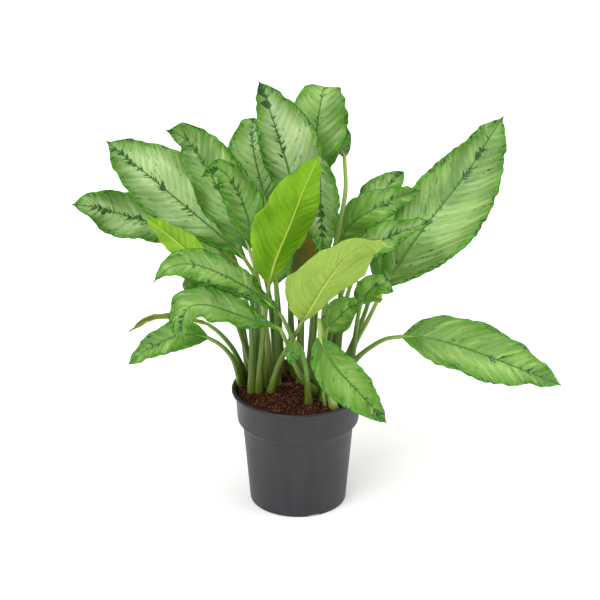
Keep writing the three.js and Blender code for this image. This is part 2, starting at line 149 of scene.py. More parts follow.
def bladeUpperMaterial(look):
    material, tree, shader = newMaterial("living leaf, waxy upper side")  # satin, silvery, with dark flecks
    read = bladeReadings(tree)
    reach = addNode(tree, "ShaderNodeMath", {"operation": "ABSOLUTE"}, {0: read["across"]})
    nearEdge = addNode(tree, "ShaderNodeMapRange",
                       {"interpolation_type": "SMOOTHSTEP", 1: 0, 2: look["edgeZone"], 3: 1, 4: 0},
                       {0: read["edge"]})
    nearRib = addNode(tree, "ShaderNodeMapRange",
                      {"interpolation_type": "SMOOTHSTEP", 1: 0, 2: look["ribZone"], 3: 1, 4: 0},
                      {0: reach})
    farHalf = addNode(tree, "ShaderNodeMapRange",
                      {"interpolation_type": "SMOOTHSTEP", 1: 0.22, 2: 0.5, 3: 0.25, 4: 1},
                      {0: read["share"]})

    # ground colour: silver in the middle, grass green outwards, bands between the side veins
    centre = addNode(tree, "ShaderNodeMix",
                     {"data_type": "RGBA", 6: linear(look["silver"]), 7: linear(look["bright"])},
                     {0: read["tone"]})
    outer = addNode(tree, "ShaderNodeMix",
                    {"data_type": "RGBA", 6: linear(look["green"]), 7: linear(look["lime"])},
                    {0: read["tone"]})
    cloud = bladeNoise(tree, read, 26, 40, 3, 3)
    spread = addNode(tree, "ShaderNodeMapRange",
                     {1: 2, 2: look["greenReach"], 3: 1, 4: 0}, {0: read["edge"]})
    spreadCloud = addNode(tree, "ShaderNodeMath",
                          {"operation": "MULTIPLY_ADD", 1: 1.1, 2: -0.62}, {0: cloud})
    spreadSum = addNode(tree, "ShaderNodeMath",
                        {"operation": "ADD", "use_clamp": True}, {0: spread, 1: spreadCloud})
    ground = addNode(tree, "ShaderNodeMix",
                     {"data_type": "RGBA"}, {0: spreadSum, 6: centre.outputs[2], 7: outer.outputs[2]})
    patch = bladeNoise(tree, read, 110, 42, 51, 1)
    patchPull = addNode(tree, "ShaderNodeMapRange", {1: 0.42, 2: 0.66, 3: 0, 4: 0.5}, {0: patch})
    # painted shade: each blade darkens to deep green towards its foot, where the leaves above shade it; the
    # same mask also takes the random darker patches
    footShadePull = addNode(tree, "ShaderNodeMapRange",
                       {"interpolation_type": "SMOOTHSTEP", 1: 0, 2: 0.5, 3: 0.6, 4: 0}, {0: read["share"]})
    patchAndShadeMask = addNode(tree, "ShaderNodeMath", {"operation": "MAXIMUM"}, {0: patchPull, 1: footShadePull})
    patchedAndShaded = addNode(tree, "ShaderNodeMix",
                       {"data_type": "RGBA", 7: linear(look["deep"])}, {0: patchAndShadeMask, 6: ground.outputs[2]})
    band = addNode(tree, "ShaderNodeMath",
                   {"operation": "MULTIPLY", 1: 2 * math.pi / look["veinSpacing"]}, {0: read["vein"]})
    wave = addNode(tree, "ShaderNodeMath", {"operation": "COSINE"}, {0: band})
    veinLine = addNode(tree, "ShaderNodeMapRange", {1: -0.3, 2: 1, 3: 0, 4: look["veinDepth"]}, {0: wave})
    veined = addNode(tree, "ShaderNodeMix", {"data_type": "RGBA", 7: linear(look["veinGreen"])},
                     {0: veinLine, 6: patchedAndShaded.outputs[2]})
    glowNoise = bladeNoise(tree, read, 11, 34, 61, 2)
    glowMask = addNode(tree, "ShaderNodeMapRange", {1: 0.52, 2: 0.72, 3: 0, 4: 0.45}, {0: glowNoise})
    glowing = addNode(tree, "ShaderNodeMix",
                      {"data_type": "RGBA", 7: linear(look["glow"])}, {0: glowMask, 6: veined.outputs[2]})

    # mottled green inside the margin
    mottle = bladeNoise(tree, read, 4.5, 9, 11, 3)
    mottleSum = addNode(tree, "ShaderNodeMath",
                        {"operation": "MULTIPLY_ADD", 1: 0.26}, {0: nearEdge, 2: mottle})
    mottleMask = addNode(tree, "ShaderNodeMapRange", {1: 0.62, 2: 0.7, 3: 0, 4: 0.85}, {0: mottleSum})
    mottled = addNode(tree, "ShaderNodeMix", {"data_type": "RGBA", 7: linear(look["mottle"])},
                      {0: mottleMask, 6: glowing.outputs[2]})

    # a bright green border of uneven width
    rimNoise = bladeNoise(tree, read, 7, 30, 41, 2)
    brightWidth = addNode(tree, "ShaderNodeMath",
                          {"operation": "MULTIPLY_ADD", 1: 22, 2: -7.5}, {0: rimNoise})
    brightGap = addNode(tree, "ShaderNodeMath",
                        {"operation": "SUBTRACT"}, {0: read["edge"], 1: brightWidth})
    brightMask = addNode(tree, "ShaderNodeMapRange", {1: -1.5, 2: 2.5, 3: 0.7, 4: 0}, {0: brightGap})
    brightened = addNode(tree, "ShaderNodeMix", {"data_type": "RGBA", 7: linear(look["rimBright"])},
                         {0: brightMask, 6: mottled.outputs[2]})

    # dark feathers beside the midrib, then small dark specks
    feather = bladeNoise(tree, read, 4.2, 13, 23, 4)
    cluster = bladeNoise(tree, read, 34, 60, 27, 1)
    clusterPull = addNode(tree, "ShaderNodeMapRange", {1: 0.35, 2: 0.65, 3: -0.09, 4: 0.06}, {0: cluster})
    ribPull = addNode(tree, "ShaderNodeMath", {"operation": "MULTIPLY"}, {0: nearRib, 1: farHalf})
    featherSum = addNode(tree, "ShaderNodeMath",
                         {"operation": "MULTIPLY_ADD", 1: look["featherPull"]}, {0: ribPull, 2: feather})
    plainer = addNode(tree, "ShaderNodeMath",
                      {"operation": "MULTIPLY_ADD", 1: -0.07}, {0: read["tone"], 2: clusterPull})
    featherTotal = addNode(tree, "ShaderNodeMath", {"operation": "ADD"}, {0: featherSum, 1: plainer})
    featherMask = addNode(tree, "ShaderNodeMapRange", {1: 0.665, 2: 0.69, 3: 0, 4: 0.9}, {0: featherTotal})
    feathered = addNode(tree, "ShaderNodeMix", {"data_type": "RGBA", 7: linear(look["dark"])},
                        {0: featherMask, 6: brightened.outputs[2]})
    speck = bladeNoise(tree, read, 2.4, 4.2, 31, 1)
    speckEdge = addNode(tree, "ShaderNodeMath",
                        {"operation": "MULTIPLY_ADD", 1: 0.19, 2: -0.04}, {0: nearEdge})
    speckSum = addNode(tree, "ShaderNodeMath", {"operation": "ADD"}, {0: speckEdge, 1: speck})
    speckTotal = addNode(tree, "ShaderNodeMath", {"operation": "ADD"}, {0: speckSum, 1: clusterPull})
    speckMask = addNode(tree, "ShaderNodeMapRange", {1: 0.7, 2: 0.72, 3: 0, 4: 0.9}, {0: speckTotal})
    specked = addNode(tree, "ShaderNodeMix", {"data_type": "RGBA", 7: linear(look["dark"])},
                      {0: speckMask, 6: feathered.outputs[2]})

    # thin dark rim, and the midrib's green line
    rimWidth = addNode(tree, "ShaderNodeMath", {"operation": "MULTIPLY_ADD", 1: 4, 2: -1.1}, {0: rimNoise})
    rimGap = addNode(tree, "ShaderNodeMath", {"operation": "SUBTRACT"}, {0: read["edge"], 1: rimWidth})
    rimMask = addNode(tree, "ShaderNodeMapRange", {1: -0.4, 2: 0.5, 3: 0.85, 4: 0}, {0: rimGap})
    rimmed = addNode(tree, "ShaderNodeMix",
                     {"data_type": "RGBA", 7: linear(look["rim"])}, {0: rimMask, 6: specked.outputs[2]})
    ribWidth = addNode(tree, "ShaderNodeMapRange", {1: 0, 2: 1, 3: 1.7, 4: 0.5}, {0: read["share"]})
    ribGap = addNode(tree, "ShaderNodeMath", {"operation": "SUBTRACT"}, {0: reach, 1: ribWidth})
    ribMask = addNode(tree, "ShaderNodeMapRange", {1: -0.3, 2: 0.5, 3: 0.85, 4: 0}, {0: ribGap})
    ribbed = addNode(tree, "ShaderNodeMix",
                     {"data_type": "RGBA", 7: linear(look["ribGreen"])}, {0: ribMask, 6: rimmed.outputs[2]})
    tree.links.new(ribbed.outputs[2], shader.inputs["Base Color"])

    grainPlace = addNode(tree, "ShaderNodeTexCoord")
    # about 1 mm cells
    grain = addNode(tree, "ShaderNodeTexNoise",
                    {"Scale": 900, "Detail": 2}, {"Vector": grainPlace.outputs["Object"]})
    heights = addNode(tree, "ShaderNodeMath", {"operation": "MULTIPLY_ADD", 1: -0.8}, {0: wave, 2: grain})
    bump = addNode(tree, "ShaderNodeBump", {"Strength": 0.22, "Distance": 0.0006}, {"Height": heights})
    tree.links.new(bump.outputs[0], shader.inputs["Normal"])
    rough = addNode(tree, "ShaderNodeMapRange",
                    {1: 0.3, 2: 0.7, 3: look["roughness"] - 0.05, 4: look["roughness"] + 0.08}, {0: cloud})
    tree.links.new(rough.outputs[0], shader.inputs["Roughness"])
    shader.inputs["Specular IOR Level"].default_value = 0.42
    letLightIn(shader, 0.12)
    return material


def bladeUnderMaterial(look):
    material, tree, shader = newMaterial("living leaf, matt underside")  # yellower, with raised side veins
    read = bladeReadings(tree)
    ground = addNode(tree, "ShaderNodeMix",
                     {"data_type": "RGBA", 6: linear(look["under"]), 7: linear(look["underVivid"])},
                     {0: read["tone"]})
    cloud = bladeNoise(tree, read, 30, 36, 5, 3)
    shade = addNode(tree, "ShaderNodeMapRange", {1: 0.35, 2: 0.7, 3: 0, 4: 0.55}, {0: cloud})
    deep = addNode(tree, "ShaderNodeMix",
                   {"data_type": "RGBA", 6: linear(look["underDeep"]), 7: linear(look["underVividDeep"])},
                   {0: read["tone"]})
    shaded = addNode(tree, "ShaderNodeMix",
                     {"data_type": "RGBA"}, {0: shade, 6: ground.outputs[2], 7: deep.outputs[2]})
    band = addNode(tree, "ShaderNodeMath",
                   {"operation": "MULTIPLY", 1: 2 * math.pi / look["veinSpacing"]}, {0: read["vein"]})
    wave = addNode(tree, "ShaderNodeMath", {"operation": "COSINE"}, {0: band})
    streak = bladeNoise(tree, read, 3.2, 30, 15, 3)
    streakMask = addNode(tree, "ShaderNodeMapRange", {1: 0.45, 2: 0.75, 3: 0, 4: 0.4}, {0: streak})
    streaked = addNode(tree, "ShaderNodeMix", {"data_type": "RGBA", 7: linear(look["underRib"])},
                       {0: streakMask, 6: shaded.outputs[2]})
    veinLine = addNode(tree, "ShaderNodeMapRange", {1: 0, 2: 1, 3: 0, 4: 0.22}, {0: wave})
    veined = addNode(tree, "ShaderNodeMix", {"data_type": "RGBA", 7: linear(look["underRib"])},
                     {0: veinLine, 6: streaked.outputs[2]})
    rimMask = addNode(tree, "ShaderNodeMapRange", {1: 0.4, 2: 1.6, 3: 0.7, 4: 0}, {0: read["edge"]})
    rimmed = addNode(tree, "ShaderNodeMix", {"data_type": "RGBA", 7: linear(look["underDeep"])},
                     {0: rimMask, 6: veined.outputs[2]})
    tree.links.new(rimmed.outputs[2], shader.inputs["Base Color"])
    bump = addNode(tree, "ShaderNodeBump", {"Strength": 0.25, "Distance": 0.0007}, {"Height": wave})
    tree.links.new(bump.outputs[0], shader.inputs["Normal"])
    shader.inputs["Roughness"].default_value = 0.5
    shader.inputs["Specular IOR Level"].default_value = 0.35
    letLightIn(shader, 0.15)
    return material


def stalkMaterial(look):
    material, tree, shader = newMaterial("leaf stalk, smooth and fleshy")  # round, satin, faint long ridges
    leaf = addNode(tree, "ShaderNodeAttribute", {"attribute_name": "leaf"})
    parts = addNode(tree, "ShaderNodeSeparateXYZ", {}, {0: leaf.outputs["Vector"]})
    blade = addNode(tree, "ShaderNodeAttribute", {"attribute_name": "blade"})
    ramp = addNode(tree, "ShaderNodeValToRGB", {}, {0: parts.outputs[0]})
    setRamp(ramp.color_ramp, look["stalkStops"])
    pale = addNode(tree, "ShaderNodeMix", {"data_type": "RGBA", 7: linear(look["stalkPale"])},
                   {0: parts.outputs[1], 6: ramp.outputs[0]})
    streak = addNode(tree, "ShaderNodeTexNoise",
                     {"Scale": 1, "Detail": 3}, {"Vector": blade.outputs["Vector"]})
    streakMask = addNode(tree, "ShaderNodeMapRange", {1: 0.4, 2: 0.7, 3: 0, 4: 0.4}, {0: streak})
    streaked = addNode(tree, "ShaderNodeMix", {"data_type": "RGBA", 7: linear(look["stalkStreak"])},
                       {0: streakMask, 6: pale.outputs[2]})
    tree.links.new(streaked.outputs[2], shader.inputs["Base Color"])
    bump = addNode(tree, "ShaderNodeBump", {"Strength": 0.3, "Distance": 0.0005}, {"Height": streak})
    tree.links.new(bump.outputs[0], shader.inputs["Normal"])
    shader.inputs["Roughness"].default_value = 0.33
    letLightIn(shader, 0.1)
    return material


def agedMaterial(name, fresh, dull, dead, tipStart):
    material, tree, shader = newMaterial(name)  # papery, ochre spreading from the tip and edges
    read = bladeReadings(tree)
    cloud = bladeNoise(tree, read, 9, 26, 13, 4)
    age = addNode(tree, "ShaderNodeMapRange", {1: 0.3, 2: 0.7}, {0: cloud})
    body = addNode(tree, "ShaderNodeMix",
                   {"data_type": "RGBA", 6: linear(fresh), 7: linear(dull)}, {0: age})
    tipSum = addNode(tree, "ShaderNodeMath",
                     {"operation": "MULTIPLY_ADD", 1: 0.5}, {0: cloud, 2: read["share"]})
    tipMask = addNode(tree, "ShaderNodeMapRange", {1: tipStart, 2: tipStart + 0.25}, {0: tipSum})
    whole = addNode(tree, "ShaderNodeMix",
                    {"data_type": "RGBA", 7: linear(dead)}, {0: tipMask, 6: body.outputs[2]})
    tree.links.new(whole.outputs[2], shader.inputs["Base Color"])
    bump = addNode(tree, "ShaderNodeBump", {"Strength": 0.5, "Distance": 0.001}, {"Height": cloud})
    tree.links.new(bump.outputs[0], shader.inputs["Normal"])
    shader.inputs["Roughness"].default_value = 0.6
    return material


leafShape = {  # in mm, but for the shares and slopes
    "bladeRings": 11, "bladeThickness": 0.6, "alongStep": 2.0, "acrossStep": 2.6,
    "veinSpacing": 13, "veinSlope": 0.8, "veinBend": 0.011, "veinWander": 3.5,  # course of the side veins
    "quilt": 0.4, "fold": 1.5, "groove": 1.1, "grooveWidth": 1.9,  # relief between veins and at the midrib
    "ripple": 3.2, "sway": 7, "outlineJitter": 1.2, "rimZone": 14,  # waves of the margin
    "tipFull": 0.2, "tipThin": 0.5,
    "stalkSides": 12, "stalkStep": 4.0, "neckShare": 0.86, "intoSoil": 7, "footFlare": 0.3,
    "sheathShare": 0.5, "sheathFull": 0.35, "channel": 0.3,  # the sheath round the foot of each stalk
}

leafLook = {
    "silver": "#BAD19C", "bright": "#82AB4A", "green": "#6C963C", "lime": "#628E2A", "veinGreen": "#4A7A28",
    # deep is the dark green of random patches and of the painted shade at the foot of each blade
    "deep": "#3A6626", "glow": "#BCD482",
    "mottle": "#4A852A", "dark": "#1F4F22", "rim": "#3B751C", "rimBright": "#6CA42A", "ribGreen": "#3F7424",
    "edgeZone": 12, "ribZone": 11, "greenReach": 26, "veinSpacing": 13, "veinDepth": 0.16, "featherPull": 0.2,
    "roughness": 0.35,
    "under": "#A9C25C", "underVivid": "#8FBE1E", "underDeep": "#8EAE48", "underVividDeep": "#649108",
    "underRib": "#6E9A2A",
    "stalkStops": [  # from the foot to the neck, then the yellow rib under the blade
        (0, "#7C8A30"), (0.1, "#55681E"), (0.3, "#46621C"), (0.6, "#56802C"),
        (0.86, "#7AA040"), (0.95, "#B4C455"), (1, "#CDD85C"),
    ],
    "stalkPale": "#BFCB78", "stalkStreak": "#8CAA4C",
}

leafTones = {  # 0 is silvery, 1 is bright green
    "leaf_crown_tall": 0.05, "leaf_crown_right": 0.7, "leaf_crown_back": 0.35, "leaf_left_high": 0.2,
    "leaf_left_folded": 0.6, "leaf_left_inner": 0.7, "leaf_far_left": 0.1, "leaf_left_bright": 0.8,
    "leaf_front_underside": 1.0, "leaf_right_large": 0.55, "leaf_right_drooping": 0.85, "leaf_over_rim": 0.95,
    "leaf_centre_underside": 0.05, "leaf_left_arching": 0.7, "leaf_left_front": 0.75, "leaf_centre_low": 1.0,
    "leaf_low_left": 1.0, "leaf_inner_hanging": 0.15, "leaf_inner_right": 1.0, "leaf_right_curled": 1.0,
}


stalkPales = {  # share of cream in the stalk, 0.1 where no other is given
    "leaf_left_folded": 0.8, "leaf_tall_stalk": 0.35, "leaf_over_rim": 0.6, "leaf_right_large": 0.4,
    "leaf_centre_underside": 0.2,
}

agedLooks = {  # name, two body colours, tip colour, where the tip colour starts
    "leaf_dried": ("leaf withered to olive and brown", "#7F8C36", "#8C7F3A", "#4A3524", 1.15),
    # the inner olive leaf's dark body colours are painted shade over an old leaf's real yellowing
    "leaf_inner_olive": ("old yellowing leaf, darkened with painted shade", "#4F621A", "#7A641A", "#5A3A14", 1.0),
    "leaf_left_hanging": ("old leaf going olive", "#5C7A28", "#7C8A2E", "#8A7A2A", 1.1),
}


def leafRings(node):  # the rings of eight points that the CAD leaf is lofted through, foot to tip
    mesh = bmesh.new()
    mesh.from_mesh(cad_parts[node].data)
    bmesh.ops.remove_doubles(mesh, verts=mesh.verts, dist=2e-5)
    lowest = sorted(mesh.verts, key=lambda v: v.co.z)[:9]
    middle = sum((v.co for v in lowest), Vector()) / 9
    layer = {min(lowest, key=lambda v: (v.co - middle).length)}
    seen = set(layer)
    layers = []
    while layer:
        layers.append(layer)
        layer = {e.other_vert(v) for v in layer for e in v.link_edges} - seen
        seen |= layer
    rings = []
    for layer in layers[1:-1]:
        ordered = [next(iter(layer))]
        while len(ordered) < len(layer):
            ordered.append(next(n for e in ordered[-1].link_edges for n in [e.other_vert(ordered[-1])]
                                if n in layer and n not in ordered))
        rings.append([v.co.copy() for v in ordered])
    tip = next(iter(layers[-1])).co.copy()
    mesh.free()
    return orderRings(rings, tip), tip


def orderRings(rings, tip):  # every ring: edge, three on top, edge, three below, seen clockwise from the foot
    centres = [sum(ring, Vector()) / 8 for ring in rings] + [tip]
    for i, ring in enumerate(rings):
        ahead = centres[i + 1] - centres[i]
        turn = sum(((ring[k] - centres[i]).cross(ring[(k + 1) % 8] - centres[i]) for k in range(8)), Vector())
        if turn.dot(ahead) < 0:
            ring.reverse()
    widths = [max((ring[k] - ring[k + 4]).length for k in range(4)) for ring in rings]
    widest = widths.index(max(widths))
    start = max(range(4), key=lambda k: (rings[widest][k] - rings[widest][k + 4]).length)
    rings[widest] = rings[widest][start:] + rings[widest][:start]
    for step in (1, -1):
        i = widest + step
        while 0 <= i < len(rings):
            before, shift = rings[i - step], centres[i] - centres[i - step]
            misfits = [sum((rings[i][(k + j) % 8] - before[j] - shift).length for j in range(8))
                       for k in range(8)]
            start = misfits.index(min(misfits))
            rings[i] = rings[i][start:] + rings[i][:start]
            i += step
    upness = sum((ring[2] - ring[6]).z for ring in rings[len(rings) // 2:])
    if upness < 0:
        rings = [ring[4:] + ring[:4] for ring in rings]
    return rings


def smoothCurve(knots, points, places):  # a curve through the points, read at the places
    points = np.array(points, float)
    slopes = np.gradient(points, knots, axis=0)
    index = np.clip(np.searchsorted(knots, places, side="right") - 1, 0, len(knots) - 2)
    span = (knots[index + 1] - knots[index])
    t = ((places - knots[index]) / span)[:, None]
    span = span[:, None]
    return ((2 * t**3 - 3 * t**2 + 1) * points[index] + (t**3 - 2 * t**2 + t) * span * slopes[index]
            + (3 * t**2 - 2 * t**3) * points[index + 1] + (t**3 - t**2) * span * slopes[index + 1])


def storeReadings(piece, blade, leaf):
    for name, values in (("blade", blade), ("leaf", leaf)):
        attribute = piece.data.attributes.new(name, "FLOAT_VECTOR", "POINT")
        attribute.data.foreach_set("vector", np.ascontiguousarray(values, np.float32).ravel())


def newGrid(columns, rows):  # a flat grid, with each corner's column and row
    clearSelection()
    bpy.ops.mesh.primitive_grid_add(x_subdivisions=columns, y_subdivisions=rows, size=1)
    piece = bpy.context.object
    flat = np.empty(len(piece.data.vertices) * 3)
    piece.data.vertices.foreach_get("co", flat)
    flat = flat.reshape(-1, 3)
    column = np.rint((flat[:, 0] - flat[:, 0].min()) / np.ptp(flat[:, 0]) * columns).astype(int)
    row = np.rint((flat[:, 1] - flat[:, 1].min()) / np.ptp(flat[:, 1]) * rows).astype(int)
    return piece, column, row


def wobble(x, y, seed):
    return noise.noise(Vector((x, y, seed * 9.7)))


def makeBlade(rings, tip, seed, tone, shape, materials):  # also gives its midline for the stalk to run under
    centres = [(ring[2] + ring[6]) / 2 for ring in rings] + [tip]
    knots = np.cumsum([0] + [(b - a).length for a, b in zip(centres, centres[1:])]) / mm
    lines = [  # five lines from neck to tip: edge, quarter, midrib, quarter, edge
        [ring[0] for ring in rings] + [tip],
        [(ring[1] + ring[7]) / 2 for ring in rings] + [tip],
        centres,
        [(ring[3] + ring[5]) / 2 for ring in rings] + [tip],
        [ring[4] for ring in rings] + [tip],
    ]
    length = knots[-1]
    halfWidths = [(ring[4] - ring[0]).length / 2 / mm for ring in rings] + [0]
    rows = max(30, int(length / shape["alongStep"]))
    columns = 2 * max(6, int(max(halfWidths) / shape["acrossStep"]))
    along = np.linspace(0, length, rows + 1)
    share = np.linspace(-1, 1, columns + 1)
    across5 = np.array([smoothCurve(knots, line, along) for line in lines])
    grid = np.array([smoothCurve(np.linspace(-1, 1, 5), across5[:, r], share) for r in range(rows + 1)])
    part = along / length
    # round shoulders, then a drip tip
    fullness = (1 + shape["tipFull"] * np.exp(-((part - 0.9) / 0.05) ** 2)
                - shape["tipThin"] * np.exp(-((part - 0.985) / 0.014) ** 2))
    spine = grid[:, columns // 2][:, None]
    grid = spine + (grid - spine) * fullness[:, None, None]

    upward = np.cross(np.gradient(grid, axis=1), np.gradient(grid, axis=0))
    lengths = np.linalg.norm(upward, axis=2, keepdims=True)
    upward = np.where(lengths > 1e-12, upward / np.maximum(lengths, 1e-12), 0)
    upward[-1] = upward[-2]
    steps = np.linalg.norm(np.diff(grid, axis=1), axis=2) / mm
    reach = np.concatenate([np.zeros((rows + 1, 1)), np.cumsum(steps, axis=1)], axis=1)
    across = reach - reach[:, columns // 2][:, None]
    edge = np.minimum(reach, reach[:, -1][:, None] - reach)
    side = np.abs(across)
    vein = along[:, None] - shape["veinSlope"] * side - shape["veinBend"] * side**2
    wander = [[wobble(v / 45, a / 35, seed + 9) for v, a in zip(*pair)] for pair in zip(vein, across)]
    vein = vein + shape["veinWander"] * np.array(wander)

    ready = np.clip(along / 25, 0, 1)[:, None] * np.clip((length - along) / 20, 0, 1)[:, None]
    inner = np.clip((side - 1.5) / 5, 0, 1) * np.clip(edge / 4, 0, 1)
    quilt = -np.cos(2 * math.pi * vein / shape["veinSpacing"]) * shape["quilt"] * inner * ready
    deepening = np.clip(along / 30, 0, 1)[:, None]
    groove = -shape["groove"] * np.exp(-(across / shape["grooveWidth"]) ** 2) * deepening
    lift = quilt + groove
    outward = np.zeros_like(lift)
    for r in range(rows + 1):
        for c in range(columns + 1):
            half = 1 if across[r, c] < 0 else -1  # each half of the blade bends in its own way
            away = side[r, c]
            rim = max(0, 1 - edge[r, c] / shape["rimZone"]) ** 2
            folding = wobble(vein[r, c] / 21, half * 3 + away / 60, seed) * inner[r, c]
            swaying = wobble(along[r] / 48, half * 9 + away / 90, seed + 7) * min(1, away / 25)
            rippling = wobble(along[r] / 22, half * 5, seed + 3) * rim
            jittering = wobble(along[r] / 9, half * 7, seed + 5) * rim
            bends = shape["fold"] * folding + shape["sway"] * swaying + shape["ripple"] * rippling
            lift[r, c] += 2 * bends * ready[r, 0]
            outward[r, c] = 2 * shape["outlineJitter"] * jittering * ready[r, 0]
    sideways = np.gradient(grid, axis=1)
    sideways /= np.maximum(np.linalg.norm(sideways, axis=2, keepdims=True), 1e-12)
    grid = grid + upward * lift[:, :, None] * mm + sideways * (np.sign(across) * outward)[:, :, None] * mm

    piece, column, row = newGrid(columns, rows)
    piece.data.vertices.foreach_set("co", grid[row, column].ravel())
    blade = np.stack([vein, across, edge], axis=2)[row, column]
    leaf = np.stack([(along / length)[row], np.full(len(row), tone), np.full(len(row), seed)], axis=1)
    storeReadings(piece, blade, leaf)
    for material in materials:
        piece.data.materials.append(material)
    makeActive(piece)
    bpy.ops.object.mode_set(mode="EDIT")
    bpy.ops.mesh.select_all(action="SELECT")
    bpy.ops.mesh.remove_doubles(threshold=2e-5)
    bpy.ops.object.mode_set(mode="OBJECT")
    thick = piece.modifiers.new("thickness", "SOLIDIFY")
    thick.thickness = shape["bladeThickness"] * mm
    thick.offset = -1
    thick.material_offset = 1
    thick.material_offset_rim = 0
    applyModifiers(piece)
    midline = grid[:, columns // 2]
    return piece, midline, upward[:, columns // 2], sideways[:, columns // 2]


# the stalk from the soil to the neck, then on under the blade as the midrib's keel
def makeStalk(rings, midline, upward, sideways, seed, pale, shape, material):
    centres = [sum(ring, Vector()) / 8 for ring in rings]
    knots = np.cumsum([0] + [(b - a).length for a, b in zip(centres, centres[1:])]) / mm
    length = knots[-1]
    count = max(12, int(length / shape["stalkStep"]))
    along = np.linspace(0, length, count + 1)
    path = smoothCurve(knots, centres, along)
    side = smoothCurve(knots, [(ring[4] - ring[0]).normalized() for ring in rings], along)
    radius = smoothCurve(knots, [[(ring[4] - ring[0]).length / 2 / mm] for ring in rings], along)[:, 0]
    radius[0] = radius[1]
    ahead = np.gradient(path, axis=0)
    up = np.cross(side, ahead)
    down = path[0] - ahead[0] / np.linalg.norm(ahead[0]) * shape["intoSoil"] * mm
    path = np.concatenate([[down], path])
    side, up, radius = [np.concatenate([values[:1], values]) for values in (side, up, radius)]
    share = np.concatenate([[0], along / length * shape["neckShare"]])

    keel = np.arange(2, len(midline) - 2, 2)  # the rest runs under the blade and thins out towards the tip
    keelShare = keel / (len(midline) - 1)
    keelRadius = np.interp(keelShare, [0, 0.06, 0.2, 0.6, 1], [radius[-1], radius[-1] * 0.82, 1.6, 0.9, 0.3])
    sink = np.clip(keelShare / 0.07, 0, 1) * (keelRadius * 0.8 + 0.25)
    keelPath = midline[keel] - upward[keel] * (sink * mm)[:, None]
    path = np.concatenate([path, keelPath])
    side = np.concatenate([side, sideways[keel]])
    up = np.concatenate([up, upward[keel]])
    radius = np.concatenate([radius, keelRadius])
    yellowing = (1 - shape["neckShare"]) * np.clip((keelShare - 0.04) / 0.1, 0, 1)
    share = np.concatenate([share, shape["neckShare"] + yellowing])
    up /= np.linalg.norm(up, axis=1, keepdims=True)
    side /= np.linalg.norm(side, axis=1, keepdims=True)

    rows, columns = len(path) - 1, shape["stalkSides"]
    distance = np.concatenate([[0], np.cumsum(np.linalg.norm(np.diff(path, axis=0), axis=1))]) / mm
    angle = np.linspace(0, 2 * math.pi, columns + 1)
    sheath = np.clip(1 - share / shape["sheathShare"], 0, 1)
    flare = 1 + shape["footFlare"] * np.exp(-distance / 16) + shape["sheathFull"] * sheath
    channelDepth = shape["channel"] * np.minimum(sheath * 3, 1)[:, None]  # along the top of the sheath
    channel = 1 - channelDepth * np.exp(-((angle[None, :] - math.pi / 2) / 0.5) ** 2)
    size = (radius * flare)[:, None] * channel * mm
    points = (path[:, None] + side[:, None] * (np.cos(angle)[None, :] * size)[:, :, None]
              + up[:, None] * (np.sin(angle)[None, :] * size)[:, :, None])
    points[-1] = path[-1]
    piece, column, row = newGrid(columns, rows)
    piece.data.vertices.foreach_set("co", points[row, column].ravel())
    ridgeX, ridgeY = np.cos(angle)[column] * 2.4, np.sin(angle)[column] * 2.4
    ridges = np.stack([ridgeX, ridgeY, distance[row] * 0.03 + seed * 5], axis=1)
    leaf = np.stack([share[row], np.full(len(row), pale), np.full(len(row), seed)], axis=1)
    storeReadings(piece, ridges, leaf)
    piece.data.materials.append(material)
    makeActive(piece)
    bpy.ops.object.mode_set(mode="EDIT")
    bpy.ops.mesh.select_all(action="SELECT")
    bpy.ops.mesh.remove_doubles(threshold=1e-5)
    bpy.ops.mesh.select_all(action="DESELECT")
    bpy.ops.mesh.select_non_manifold()
    bpy.ops.mesh.edge_face_add()  # closes the foot, which is under the soil
    bpy.ops.mesh.select_all(action="SELECT")
    bpy.ops.mesh.normals_make_consistent(inside=False)
    bpy.ops.object.mode_set(mode="OBJECT")
    return piece


def makeLeaf(name, seed, shape, upper, under, stalkLook):
    rings, tip = leafRings(name)
    if name in agedLooks:
        upper = under = agedMaterial(*agedLooks[name])
    neck = len(rings) - shape["bladeRings"]
    tone = leafTones.get(name, 0.55)
    pale = stalkPales.get(name, 0.1)
    looks = [upper, under, stalkLook]
    blade, midline, upward, sideways = makeBlade(rings[neck:], tip, seed, tone, shape, looks)
    stalk = makeStalk(rings[:neck + 1], midline, upward, sideways, seed, pale, shape, stalkLook)
    leaf = joinPieces([blade, stalk], name.replace("leaf_", "grown_"))
    leaf.data.shade_smooth()
    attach(leaf, "root")
    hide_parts(name)
    return leaf


potShape = {  # in mm; the outline is a radius and a height at each point
    "outside": [
        (66, 0), (67.6, 0.15), (68.7, 0.9), (69.2, 2.2), (74.2, 60), (79.2, 117.6), (79.9, 118.6),
        (80.6, 119.4), (86.2, 126.6), (86.9, 127.8), (87.1, 129.2), (89.3, 166.4), (89.9, 168.2),
        (91.2, 169), (93.4, 169.3), (94.4, 169.9), (94.9, 170.9), (95, 172.6), (94.6, 174.1),
        (93.5, 174.9), (92, 175),
    ],
    "inside": [
        (90.4, 174.8), (89, 174), (87.6, 171), (85.1, 129), (77.6, 118.4), (67.4, 4.6), (66, 3.2), (60, 3),
    ],
    "lipRadius": 95, "height": 175, "sides": 160,
    "notches": 3, "notchTurn": 20, "notchWidth": 17, "notchHeight": 3, "notchDepth": 12, "notchCircle": 69.5,
    "holes": 6, "holeRadius": 6, "holeCircle": 42, "holeDepth": 12,
}


